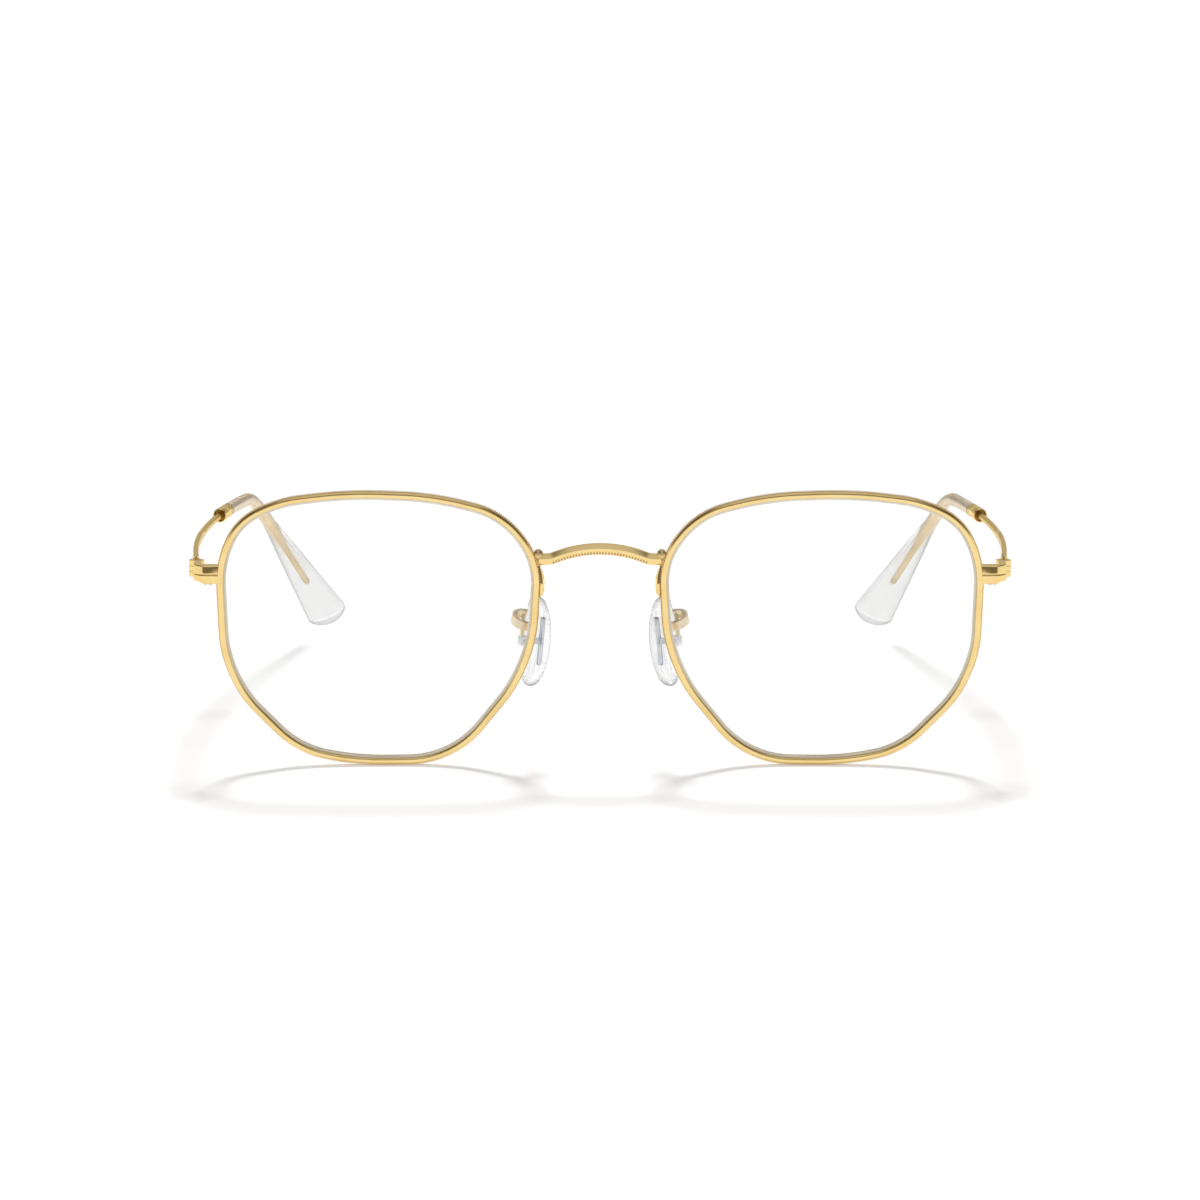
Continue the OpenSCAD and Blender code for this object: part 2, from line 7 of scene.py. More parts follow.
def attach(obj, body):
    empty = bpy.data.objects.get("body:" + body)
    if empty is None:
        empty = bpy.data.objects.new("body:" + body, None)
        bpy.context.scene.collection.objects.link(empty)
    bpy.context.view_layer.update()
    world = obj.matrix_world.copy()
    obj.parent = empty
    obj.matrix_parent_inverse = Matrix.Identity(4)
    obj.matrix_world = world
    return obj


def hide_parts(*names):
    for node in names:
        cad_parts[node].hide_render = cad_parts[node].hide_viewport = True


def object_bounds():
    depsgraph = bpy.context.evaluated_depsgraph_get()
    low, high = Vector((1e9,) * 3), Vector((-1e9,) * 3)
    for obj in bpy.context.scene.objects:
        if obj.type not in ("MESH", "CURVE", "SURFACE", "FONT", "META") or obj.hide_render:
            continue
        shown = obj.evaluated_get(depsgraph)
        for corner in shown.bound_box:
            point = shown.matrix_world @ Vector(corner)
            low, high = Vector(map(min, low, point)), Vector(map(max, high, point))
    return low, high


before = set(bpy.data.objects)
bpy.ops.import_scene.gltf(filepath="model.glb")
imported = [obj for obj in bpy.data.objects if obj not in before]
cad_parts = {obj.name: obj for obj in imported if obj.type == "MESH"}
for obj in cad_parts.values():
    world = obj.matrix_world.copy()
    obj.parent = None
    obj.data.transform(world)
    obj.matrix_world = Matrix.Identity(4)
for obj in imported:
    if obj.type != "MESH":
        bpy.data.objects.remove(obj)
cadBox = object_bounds()
print("frame loaded:", len(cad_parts), "nodes")

mm = 0.001

# places that all pieces share, in mm, the same as in the CAD source
frontY = round(cadBox[0][1] / mm, 4)  # front face of the rims, the foremost of all
shared = {
    "lensX": 36.0,  # middle of a lens, from the middle of the glasses
    "lensZ": 22.5956,
    "splitZ": 31.3957,  # where the rims are split, and the height of the hinges
    "hingeX": 65.95,  # hinge pins, out from the middle of the glasses
    "hingeBack": 8.0,  # hinge pins, back from the front face
}


# small helpers for modelling

def clearSelection():
    if bpy.context.object and bpy.context.object.mode != "OBJECT":
        bpy.ops.object.mode_set(mode="OBJECT")
    bpy.ops.object.select_all(action="DESELECT")


def pick(*pieces):
    clearSelection()
    for piece in pieces:
        piece.select_set(True)
    bpy.context.view_layer.objects.active = pieces[0]


def named(name):
    # the object that was just made
    piece = bpy.context.object
    piece.name = name
    return piece


def startEdit(piece):
    pick(piece)
    bpy.ops.object.mode_set(mode="EDIT")
    bpy.ops.mesh.select_all(action="DESELECT")


def selectAll():
    bpy.ops.mesh.select_all(action="SELECT")


def endEdit():
    # all faces point outwards again
    selectAll()
    bpy.ops.mesh.normals_make_consistent()
    bpy.ops.object.mode_set(mode="OBJECT")


def faceOutwards(piece):
    startEdit(piece)
    endEdit()


def selectWhere(piece, kind, test):
    # kind is verts, edges or faces, test gets each one
    bpy.ops.mesh.select_all(action="DESELECT")
    cage = bmesh.from_edit_mesh(piece.data)
    for part in getattr(cage, kind):
        if test(part):
            part.select_set(True)
    cage.select_flush(True)
    bmesh.update_edit_mesh(piece.data)


def moveCorners(piece, place, onlySelected=False):
    # place gives each corner's new spot from its number and its old spot, in metres
    cage = bmesh.from_edit_mesh(piece.data)
    for number, corner in enumerate(cage.verts):
        if corner.select or not onlySelected:
            corner.co = place(number, corner.co)
    bmesh.update_edit_mesh(piece.data)


def paint(piece, slot):
    # what is selected gets this material slot
    cage = bmesh.from_edit_mesh(piece.data)
    for face in cage.faces:
        if face.select:
            face.material_index = slot
    bmesh.update_edit_mesh(piece.data)


def paintWhere(piece, slot, test):
    startEdit(piece)
    selectWhere(piece, "faces", test)
    paint(piece, slot)
    endEdit()


def giveLooks(piece, *looks):
    for look in looks:
        piece.data.materials.append(look)


def softenEdges(piece, width):
    pick(piece)
    bpy.ops.object.modifier_add(type="BEVEL")
    soft = piece.modifiers[-1]
    soft.width = width * mm
    soft.segments = 2
    soft.limit_method = "ANGLE"
    soft.angle_limit = math.radians(30)
    bpy.ops.object.modifier_apply(modifier=soft.name)


def smooth(piece, angle):
    pick(piece)
    bpy.ops.object.shade_smooth_by_angle(angle=math.radians(angle))


def placeInMesh(piece):
    pick(piece)
    bpy.ops.object.transform_apply()


def joinPieces(*pieces):
    pick(*pieces)
    bpy.ops.object.join()
    return bpy.context.object


def otherSide(piece):
    # the right piece: a mirrored copy with its own mesh
    pick(piece)
    bpy.ops.object.duplicate()
    copy = named(piece.name.replace("left", "right"))
    copy.scale = (-1, 1, 1)
    placeInMesh(copy)
    faceOutwards(copy)
    return copy


def turn(axis, degrees):
    return Matrix.Rotation(math.radians(degrees), 3, axis)


def roundShape(wide, high, power, count):
    # closed outline between an ellipse (2) and a rounded box (4 and more)
    shape = []
    for number in range(count):
        angle = 2 * math.pi * (number + 0.5) / count
        across, up = math.cos(angle), math.sin(angle)
        shape.append((wide * math.copysign(abs(across) ** (2 / power), across),
                      high * math.copysign(abs(up) ** (2 / power), up)))
    return shape


def drawThrough(name, rings, closeTube=False):
    # starts with a circle and extrudes it from ring to ring
    clearSelection()
    bpy.ops.mesh.primitive_circle_add(vertices=len(rings[0]), radius=mm)
    piece = named(name)
    bpy.ops.object.mode_set(mode="EDIT")
    cage = bmesh.from_edit_mesh(piece.data)
    order = cage.verts.layers.int.new("order")
    cage.verts.ensure_lookup_table()
    for number, corner in enumerate(cage.verts):
        corner[order] = number
        corner.co = Vector(rings[0][number]) * mm
    bmesh.update_edit_mesh(piece.data)
    for ring in rings[1:]:
        bpy.ops.mesh.extrude_region_move()
        cage = bmesh.from_edit_mesh(piece.data)
        order = cage.verts.layers.int["order"]
        for corner in cage.verts:
            if corner.select:
                corner.co = Vector(ring[corner[order]]) * mm
        bmesh.update_edit_mesh(piece.data)
    selectWhere(piece, "edges", lambda edge: edge.is_boundary)
    if closeTube:
        bpy.ops.mesh.bridge_edge_loops()
    else:
        bpy.ops.mesh.fill_holes(sides=0)
    endEdit()
    piece.data.attributes.remove(piece.data.attributes["order"])
    return piece


def softCopy(node, name, edge):
    # the CAD shape with its edges eased
    piece = bpy.data.objects.new(name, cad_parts[node].data.copy())
    bpy.context.scene.collection.objects.link(piece)
    pick(piece)
    bpy.ops.mesh.customdata_custom_splitnormals_clear()
    startEdit(piece)
    selectAll()
    bpy.ops.mesh.remove_doubles(threshold=0.001 * mm)
    bpy.ops.mesh.dissolve_limited(angle_limit=math.radians(1))
    endEdit()
    softenEdges(piece, edge)
    smooth(piece, 38)
    return piece


def fit(piece, look, body, slot, *nodes):
    if look:
        piece.data.materials.clear()
        piece.data.materials.append(look)
    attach(piece, body)
    if nodes:
        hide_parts(*nodes)


def fitPair(left, look, body, slot, *nodes, angle=None):
    # makes the right piece and fits both, each to its own side's body and nodes
    right = otherSide(left)
    if angle:
        smooth(right, angle)
    for piece, side in ((left, "left"), (right, "right")):
        ownNodes = [node.replace("left", side) for node in nodes]
        fit(piece, look, body.replace("left", side), slot, *ownNodes)


# materials: Value wraps a socket so that shader maths reads as Python

class Value:
    def __init__(self, look, socket):
        self.look = look
        self.socket = socket

    def maths(self, operation, first, second):
        return self.look.add("Math", {0: first, 1: second}, operation=operation)

    def __add__(self, other):
        return self.maths("ADD", self, other)

    def __radd__(self, other):
        return self.maths("ADD", other, self)

    def __mul__(self, other):
        return self.maths("MULTIPLY", self, other)

    def __rmul__(self, other):
        return self.maths("MULTIPLY", other, self)

    def __pow__(self, other):
        return self.maths("POWER", self, other)


class Look:
    def __init__(self, name, world=None):
        self.material = world or bpy.data.materials.new(name)
        self.material.use_nodes = True
        self.tree = self.material.node_tree
        self.tree.nodes.clear()

    def add(self, kind, inputs=None, output=0, **settings):
        # colours are written as red, green and blue
        node = self.tree.nodes.new("ShaderNode" + kind)
        for key, value in settings.items():
            setattr(node, key, value)
        for key, value in (inputs or {}).items():
            socket = node.inputs[key]
            if isinstance(value, Value):
                self.tree.links.new(value.socket, socket)
            else:
                socket.default_value = (*value, 1) if socket.type == "RGBA" else value
        return Value(self, node.outputs[output]) if node.outputs else None

    def where(self, scale=(1000, 1000, 1000), rotation=(0, 0, 0)):
        # place on the piece, in mm unless stretched
        spot = self.add("TexCoord", output="Object")
        return self.add("Mapping", {"Vector": spot, "Scale": scale, "Rotation": rotation})

    def axis(self, where, number):
        # how far along X (0), Y (1) or Z (2)
        return self.add("SeparateXYZ", {0: where}, number)

    def noise(self, where, scale, detail, rough=0.5):
        return self.add("TexNoise", {
            "Vector": where, "Scale": scale, "Detail": detail, "Roughness": rough})

    def between(self, value, low, high):
        # 0 up to low, 1 from high on, smooth between
        return self.add("MapRange", {"Value": value, "From Min": low, "From Max": high},
                        interpolation_type="SMOOTHSTEP")

    def tint(self, factor, first, second):
        return self.add("Mix", {0: factor, 6: first, 7: second}, 2, data_type="RGBA")

    def bump(self, height, distance):
        return self.add("Bump", {"Height": height, "Distance": distance * mm})

    def facing(self, **more):
        # grows towards the outline, where the surface turns away from the eye
        return self.add("LayerWeight", {"Blend": 0.5, **more}, 1)

    def seeThrough(self, colour):
        return self.add("BsdfTransparent", {"Color": colour})

    def blend(self, share, first, second):
        # share is that of the second shader
        return self.add("MixShader", {0: share, 1: first, 2: second})

    def done(self, surface):
        end = "OutputWorld" if isinstance(self.material, bpy.types.World) else "OutputMaterial"
        self.add(end, {"Surface": surface})
        return self.material


print("helpers ready")


# metals and clear materials

def goldLook(name, light, deep, rough, mark=0.0, fine=1.0, rimTint=(1, 1, 1)):
    # slow colour change, light wear, hairline scratches
    # mark makes it grainier, fine makes the hairlines stronger
    look = Look(name)
    where = look.where()
    cloud = look.noise(where, 0.18, 3)
    grain = look.noise(where, 6.0, 4, 0.6)
    lines = look.noise(look.where((300, 9000, 9000), (0.3, 0.2, 0.6)), 1.0, 2)
    colour = look.tint(look.between(cloud, 0.35, 0.7), light, deep)
    colour = look.tint(look.between(grain, 0.62, 0.8) * 0.35, colour, (0.30, 0.17, 0.05))
    roughness = rough + cloud * 0.05 + look.between(lines, 0.55, 0.75) * 0.08 * fine + grain * mark
    metal = look.add("BsdfPrincipled", {
        "Base Color": colour, "Metallic": 1.0, "Roughness": roughness, "Specular Tint": rimTint,
        "Normal": look.bump(lines * 0.4 * fine + grain * 0.6, 0.0025 + 0.01 * mark)})
    return look.done(metal)


def silverLook(name, light, deep, rough):
    # brushed along one way, with slow colour change
    look = Look(name)
    where = look.where()
    brush = look.noise(look.where((400, 400, 9000), (0.2, 0.1, 0)), 1.0, 3)
    cloud = look.noise(where, 0.7, 3)
    colour = look.tint(look.between(cloud, 0.3, 0.75), light, deep)
    metal = look.add("BsdfPrincipled", {
        "Base Color": colour, "Metallic": 1.0, "Roughness": rough + brush * 0.15,
        "Normal": look.bump(brush, 0.004)})
    return look.done(metal)


def faintShadow(look, surface):
    # lets most of the light through to what lies behind
    seen = look.add("LightPath", output="Is Shadow Ray")
    return look.done(look.blend(seen, surface, look.seeThrough((0.93, 0.94, 0.95))))


def clearLook(name, colour, index, rough, haze, dents, thinFrom, thinTo, thinShare):
    # solid clear plastic that turns, from thinFrom to thinTo along Y, to a thin leaf with grey edges
    look = Look(name)
    where = look.where()
    cloud = look.noise(where, 0.35, 3)
    soft = look.bump(look.noise(where, 0.12, 1), dents)
    facing = look.facing(Normal=soft)
    body = look.add("BsdfPrincipled", {
        "Base Color": look.tint(look.between(cloud, 0.3, 0.75), colour, haze),
        "Roughness": rough + look.between(cloud, 0.45, 0.8) * rough, "IOR": index,
        "Transmission Weight": 1.0, "Normal": soft})
    light, dark = look.seeThrough((0.985, 0.985, 0.986)), look.seeThrough((0.1, 0.1, 0.11))
    gloss = look.add("BsdfGlossy", {
        "Color": (0.96, 0.96, 0.96), "Roughness": 0.06 + cloud * 0.1, "Normal": soft})
    leaf = look.blend(facing ** 4 * 0.95, light, dark)
    leaf = look.blend(0.02 + facing ** 5 * 0.35, leaf, gloss)
    along = look.axis(where, 1)
    return faintShadow(look, look.blend(look.between(along, thinFrom, thinTo) * thinShare, body, leaf))


def paddleEdgeLook(name):
    # light is lost along the rounded edge of the clear paddle
    look = Look(name)
    cloud, facing = look.noise(look.where(), 0.4, 3), look.facing()
    light, dark = look.seeThrough((0.87, 0.875, 0.88)), look.seeThrough((0.13, 0.13, 0.135))
    gloss = look.add("BsdfGlossy", {"Color": (0.96, 0.96, 0.96), "Roughness": 0.08 + cloud * 0.1})
    body = look.blend(facing ** 2 * 0.85 + cloud * 0.12, light, dark)
    return faintShadow(look, look.blend(0.02 + facing ** 5 * 0.3, body, gloss))


def lensLook(name):
    # thin clear lens: a faint mirror over a see-through body
    look = Look(name)
    where = look.where()
    smear = look.noise(where, 0.06, 4, 0.6)
    dust = look.noise(where, 3.0, 2)
    mirror = look.add("BsdfGlossy", {
        "Color": (0.95, 0.98, 1.0), "Roughness": 0.02 + look.between(smear, 0.5, 0.8) * 0.05,
        "Normal": look.bump(dust, 0.0004)})
    passing = look.seeThrough((0.99, 0.993, 0.992))
    return look.done(look.blend(0.012 + look.facing() ** 5 * 0.7, passing, mirror))


def edgeLook(name):
    # finely ground lens edge with the rim's colour behind it
    look = Look(name)
    where = look.where()
    grain = look.noise(where, 9.0, 3)
    cloud = look.noise(where, 0.25, 2)
    shade = look.tint(look.between(cloud, 0.3, 0.7), (0.90, 0.84, 0.70), (0.84, 0.78, 0.65))
    frost = look.add("BsdfPrincipled", {
        "Base Color": shade, "Metallic": 0.75, "Roughness": 0.25 + grain * 0.2,
        "Normal": look.bump(grain, 0.004)})
    return look.done(look.blend(0.7 + grain * 0.15, look.seeThrough((0.96, 0.96, 0.95)), frost))


polishedGold = goldLook("polished gold", (0.93, 0.71, 0.33), (0.88, 0.65, 0.27), 0.11,
                        rimTint=(1, 0.9, 0.62))
# milled finish for the rim's ribs, also painted shade on the bridge between its ribs
milledGoldAndShade = goldLook("milled gold and painted shade", (0.90, 0.66, 0.31), (0.82, 0.57, 0.23), 0.2, 0.06)
# painted shade for the hollows between ribs and inside the ferrule's mouth
valleyShadeGold = goldLook("gold between the milled ribs", (0.60, 0.42, 0.18), (0.50, 0.34, 0.13), 0.3, 0.08)
# painted shade and dark reflection for the foot's side against the rim
footShadeGold = goldLook("dull gold in the corner of the foot", (0.30, 0.20, 0.09), (0.22, 0.14, 0.06),
                      0.42, 0.1)
wireGold = goldLook("drawn gold wire", (0.88, 0.70, 0.35), (0.80, 0.61, 0.28), 0.16, 0.03, 1.5,
                    (0.93, 0.78, 0.48))
sleevedGold = goldLook("gold wire inside the sleeve", (0.86, 0.71, 0.46), (0.78, 0.62, 0.38), 0.3, 0.03)
satinGold = goldLook("satin gold", (0.80, 0.62, 0.32), (0.72, 0.54, 0.26), 0.34, 0.06)
ribbonGold = goldLook("pale gold ribbon", (0.88, 0.76, 0.55), (0.80, 0.68, 0.48), 0.3, 0.04)
screwGold = goldLook("satin gold screws", (0.80, 0.60, 0.30), (0.66, 0.47, 0.22), 0.24, 0.05)
brushedSilver = silverLook("brushed silver", (0.76, 0.75, 0.79), (0.58, 0.57, 0.58), 0.2)
plateSilver = silverLook("silver plate", (0.74, 0.78, 0.84), (0.62, 0.66, 0.71), 0.34)
clearSleeve = clearLook("clear sleeve", (0.97, 0.965, 0.95), 1.46, 0.02, (0.94, 0.93, 0.91), 0.03,
                        thinFrom=32, thinTo=50, thinShare=0.85)
paddleEdge = paddleEdgeLook("edge of the clear paddle")
clearPad = clearLook("clear soft pad", (0.96, 0.97, 0.975), 1.41, 0.05, (0.93, 0.94, 0.96), 0.01,
                     thinFrom=-90, thinTo=-80, thinShare=0.9)
clearLens = lensLook("clear lens")
groundEdge = edgeLook("ground lens edge")
print("materials ready")


# rims

rimValues = {
    # twelve corners, as shares of half the lens's width and height
    "corners": [
        (1.01, 0.514), (0.781, 0.853), (0.355, 0.983), (-0.187, 1.007),
        (-0.628, 0.945), (-0.889, 0.793), (-1.005, 0.477), (-0.975, -0.374),
        (-0.51, -0.917), (-0.14, -1.002), (0.469, -0.994), (0.97, -0.269)],
    "halfWide": 25.5, "halfHigh": 21.75,
    "rounding": 0.47,  # share of the shorter side that a corner takes
    "cover": 0.85,  # metal outside the lens edge
    "depth": 2.1,
    "lip": 0.28, "lipBack": 0.58,  # metal inside the lens edge, front and back
    "wall": 0.6,  # metal before and behind the lens groove
    "grooveFloor": 0.03,  # bottom of the groove, outside the lens edge
    # ribs of the milled band, whose crests end just inside the cover
    "ribHigh": 0.2, "ribWide": 0.21, "ribPitch": 0.408, "ribFrom": 0.24, "ribTo": 1.86,
    "ribRound": 0.07, "ribShort": 0.01,
    "bandHalf": 0.85,  # half the depth of the band under the ribs, which gets painted shade
    "lockIn": 4, "lockReach": 6,  # stretch of rim at the lock: in from its side, up and down
    "seam": 0.05,  # the lock is shut tight
}


def rimOutline(name, grow):
    # twelve corners moved outwards, then each rounded by a vertex bevel
    size = rimValues
    corners = [Vector((x * size["halfWide"], y * size["halfHigh"])) for x, y in size["corners"]]
    count = len(corners)
    ways = [(corners[(i + 1) % count] - corners[i]).normalized() for i in range(count)]
    spots, cuts = [], []
    for i, corner in enumerate(corners):
        before, after = ways[i - 1], ways[i]
        bend = math.asin(before.x * after.y - before.y * after.x)
        shorter = min((corner - corners[i - 1]).length, (corners[(i + 1) % count] - corner).length)
        moved = corner + (before - after).normalized() * grow / math.cos(bend / 2)
        spots.append((moved.x * mm, moved.y * mm, 0))
        cuts.append((size["rounding"] * shorter + grow * math.tan(bend / 2)) * mm)
    clearSelection()
    bpy.ops.mesh.primitive_circle_add(vertices=count, radius=mm)
    piece = named(name)
    startEdit(piece)
    moveCorners(piece, lambda number, old: spots[number])
    for spot, cut in zip(spots, cuts):
        selectWhere(piece, "verts", lambda corner: (corner.co - Vector(spot)).length < 0.01 * mm)
        bpy.ops.mesh.bevel(offset=cut, segments=10, profile=0.55,
                           affect="VERTICES", clamp_overlap=False)
    bpy.ops.object.mode_set(mode="OBJECT")
    return piece


def asCurve(piece):
    pick(piece)
    bpy.ops.object.convert(target="CURVE")
    bpy.context.object.data.dimensions = "2D"
    return bpy.context.object


def standUp(piece):
    # from flat to upright in front of the left lens
    piece.rotation_euler = (math.radians(90), 0, 0)
    piece.location = (-shared["lensX"] * mm, frontY * mm, shared["lensZ"] * mm)
    placeInMesh(piece)


def rimBody():
    size = rimValues
    back, low = -size["depth"], size["cover"] - size["ribHigh"]
    lip, lipBack, wall, floor = -size["lip"], -size["lipBack"], size["wall"], size["grooveFloor"]
    # section as (outwards, forwards): inner edge, front, milled band, back, groove
    shoulder = [(0.46, 0.03), (low - 0.05, 0.17), (low, 0.28)]
    section = [(lip, -0.16), (lip + 0.04, -0.04), (lip + 0.14, 0.0), (0.2, 0.0)]
    section += [(outwards, -less) for outwards, less in shoulder]
    section += [(outwards, back + less) for outwards, less in reversed(shoulder)]
    section += [(lip, back), (lipBack, back + 0.2), (lipBack, back + wall),
                (floor, back + wall), (floor, -wall), (lip, -wall)]
    clearSelection()
    bpy.ops.mesh.primitive_circle_add(vertices=len(section), radius=mm)
    cut = bpy.context.object
    for corner, (outwards, forwards) in zip(cut.data.vertices, section):
        corner.co = (-outwards * mm, forwards * mm, 0)
    cut = asCurve(cut)
    path = asCurve(rimOutline("rimPath", 0))
    path.data.bevel_mode = "OBJECT"
    path.data.bevel_object = cut
    pick(path)
    bpy.ops.object.convert(target="MESH")
    body = named("rimRing_left")
    bpy.data.objects.remove(cut)
    standUp(body)
    faceOutwards(body)
    # seam at the lock, where the rim is split
    side = -(shared["lensX"] + size["halfWide"] - size["lockIn"]) * mm
    level = shared["splitZ"] * mm
    exact = 0.001

    def atSplit(corners, reach):
        return all(corner.co.x < side and abs(corner.co.z - level) < reach * mm for corner in corners)

    startEdit(body)
    selectWhere(body, "faces", lambda face: atSplit(face.verts, size["lockReach"]))
    bpy.ops.mesh.bisect(plane_co=(0, 0, level), plane_no=(0, 0, 1))
    selectWhere(body, "edges", lambda edge: atSplit(edge.verts, exact))
    bpy.ops.mesh.bevel(offset=size["seam"] * mm, segments=2)
    selectWhere(body, "verts", lambda corner: atSplit([corner], exact))
    bpy.ops.transform.shrink_fatten(value=-size["seam"] * mm)
    endEdit()
    softenEdges(body, 0.05)
    return body


def paintBand(body):
    # the metal that the ribs stand on gets painted shade, darker than the ribs
    lensMiddle = Vector((-shared["lensX"], frontY - 1, shared["lensZ"])) * mm
    bandMiddle = (frontY + rimValues["depth"] / 2) * mm

    def onBand(face):
        spot = face.calc_center_median()
        return (abs(face.normal.y) < 0.3 and face.normal.dot(spot - lensMiddle) > 0
                and abs(spot.y - bandMiddle) < rimValues["bandHalf"] * mm)

    giveLooks(body, polishedGold, valleyShadeGold)
    paintWhere(body, 1, onBand)


def rimRibs():
    # one rib, repeated round the rim's milled band
    size = rimValues
    path = rimOutline("ribPath", size["cover"] - size["ribHigh"])
    spots = [corner.co.copy() for corner in path.data.vertices]
    around = sum((spots[a] - spots[b]).length for a, b in (edge.vertices for edge in path.data.edges))
    path = asCurve(path)
    count = round(around / mm / size["ribPitch"])
    long = size["ribTo"] - size["ribFrom"]
    clearSelection()
    bpy.ops.mesh.primitive_cube_add(
        size=mm, scale=(size["ribWide"], 2 * size["ribHigh"] - size["ribShort"], long))
    rib = bpy.context.object
    rib.location.z = -(size["ribFrom"] + size["ribTo"]) / 2 * mm
    placeInMesh(rib)
    startEdit(rib)
    selectWhere(rib, "edges", lambda edge: abs(edge.verts[0].co.z - edge.verts[1].co.z) > long / 2 * mm)
    bpy.ops.mesh.bevel(offset=size["ribRound"] * mm, segments=2)
    endEdit()
    pick(rib)
    bpy.ops.object.modifier_add(type="ARRAY")
    row = rib.modifiers[-1]
    row.count = count
    row.use_relative_offset = False
    row.use_constant_offset = True
    row.constant_offset_displace = (around / count, 0, 0)
    bpy.ops.object.modifier_apply(modifier=row.name)
    bpy.ops.object.modifier_add(type="CURVE")
    rib.modifiers[-1].object = path
    bpy.ops.object.modifier_apply(modifier=rib.modifiers[-1].name)
    bpy.data.objects.remove(path)
    standUp(rib)
    giveLooks(rib, milledGoldAndShade)
    return rib


rim = rimBody()
paintBand(rim)
rim = joinPieces(rim, rimRibs())
smooth(rim, 32)
fitPair(rim, None, "front", "gold_metal", "rim_left")
print("rims done:", len(rim.data.polygons), "faces each")


# lenses

lensValues = {
    "thick": 1.4, "curve": 680.0,
    "edgeOut": -0.05, "edgeFrom": 0.63, "edgeTo": 1.47,  # tongue in the groove, from the front
    "insets": [0.66, 0.2],  # ground edge, seen inside the rim, then a narrow clear ring
    "shrinks": [0.92, 0.84, 0.74, 0.6, 0.4],  # rings of the curved face
}


def onCurve(lens, middle):
    # what is selected takes the lens curve, middle mm behind the front of the rim
    def place(number, spot):
        sag = (spot.x ** 2 + spot.y ** 2) / (2 * lensValues["curve"] * mm)
        return (spot.x, spot.y, -middle * mm - sag)

    moveCorners(lens, place, True)


def lensBlank():
    size = lensValues
    edgeFrom, edgeTo = size["edgeFrom"], size["edgeTo"]
    rimMiddle = rimValues["depth"] / 2
    lens = rimOutline("lensBlank_left", size["edgeOut"])
    startEdit(lens)
    selectAll()
    bpy.ops.transform.translate(value=(0, 0, -edgeFrom * mm))
    bpy.ops.mesh.edge_face_add()
    bpy.ops.mesh.extrude_region_move(TRANSFORM_OT_translate={"value": (0, 0, (edgeFrom - edgeTo) * mm)})
    half = size["thick"] / 2
    for edge, middle in ((edgeFrom, rimMiddle - half), (edgeTo, rimMiddle + half)):
        # the flat face has more corners than any other
        selectWhere(lens, "faces", lambda face: len(face.verts) > 4
                    and abs(face.verts[0].co.z + edge * mm) < 0.1 * mm)
        paint(lens, 1)  # the ground edge shows as a pale line inside the rim
        for inset in size["insets"]:
            bpy.ops.mesh.inset(thickness=inset * mm)
            paint(lens, 0)
        onCurve(lens, middle)
        for share in size["shrinks"]:
            bpy.ops.mesh.extrude_region_move()
            bpy.ops.transform.resize(value=(share, share, 1))
            onCurve(lens, middle)
        bpy.ops.mesh.poke()
        onCurve(lens, middle)
    endEdit()
    giveLooks(lens, clearLens, groundEdge)
    standUp(lens)
    smooth(lens, 12)
    return lens


fitPair(lensBlank(), None, "front", "clear_lens", "lens_left")
print("lenses done")


# bridge

bridgeValues = {
    "deep": 1.7, "front": 0.1,
    "rise": 1.7, "half": 8.9, "endsZ": shared["lensZ"] + 11.2991, "flare": 4.2,
    # section of the bar as (up, backwards): ridge along the front, sloping top, chamfer under it
    "section": [
        (-0.9, -0.45), (-0.84, -0.62), (-0.64, -0.81), (-0.3, -0.85), (0.1, -0.85), (0.6, -0.56),
        (0.78, -0.42), (0.88, -0.2), (0.9, 0.35), (0.8, 0.7), (0.5, 0.85), (-0.5, 0.85),
        (-0.8, 0.75), (-0.9, 0.5)],
    # milled ribs under the bar: number, degrees that they take, size, place and lean
    "ribs": 32, "ribSpan": 46, "ribSize": (0.27, 0.3, 0.56), "ribRound": 0.06,
    "ribDown": 0.6, "ribFront": 0.74, "ribLean": -14,
    "bandHalf": 7.6, "bandFront": 0.6, "bandDown": 0.28,  # where the bar between the ribs gets painted shade
    # knob as (backwards, share of its radius)
    "knobProfile": [
        (0.1, 0.1), (0.14, 0.42), (0.24, 0.66), (0.42, 0.87), (0.7, 1), (2.2, 1),
        (2.6, 0.94), (2.88, 0.74), (3.08, 0.44), (3.15, 0.1)],
    "knobX": 10.02, "knobUp": 0.7, "knobRadius": 0.8,
    # foot, above the middle of the lens; near the top its side against the rim gets painted shade and a
    # painted dark reflection, and it sits a little in the rim
    "footTop": 10.9, "footBottom": 5.2, "footWide": 0.66, "footIn": 0.25, "footShadeFrom": 7.4,
    "solderX": -10.35, "solderBack": 1.15, "solderDown": 0.2, "solderSize": (0.95, 0.8, 0.85),
}


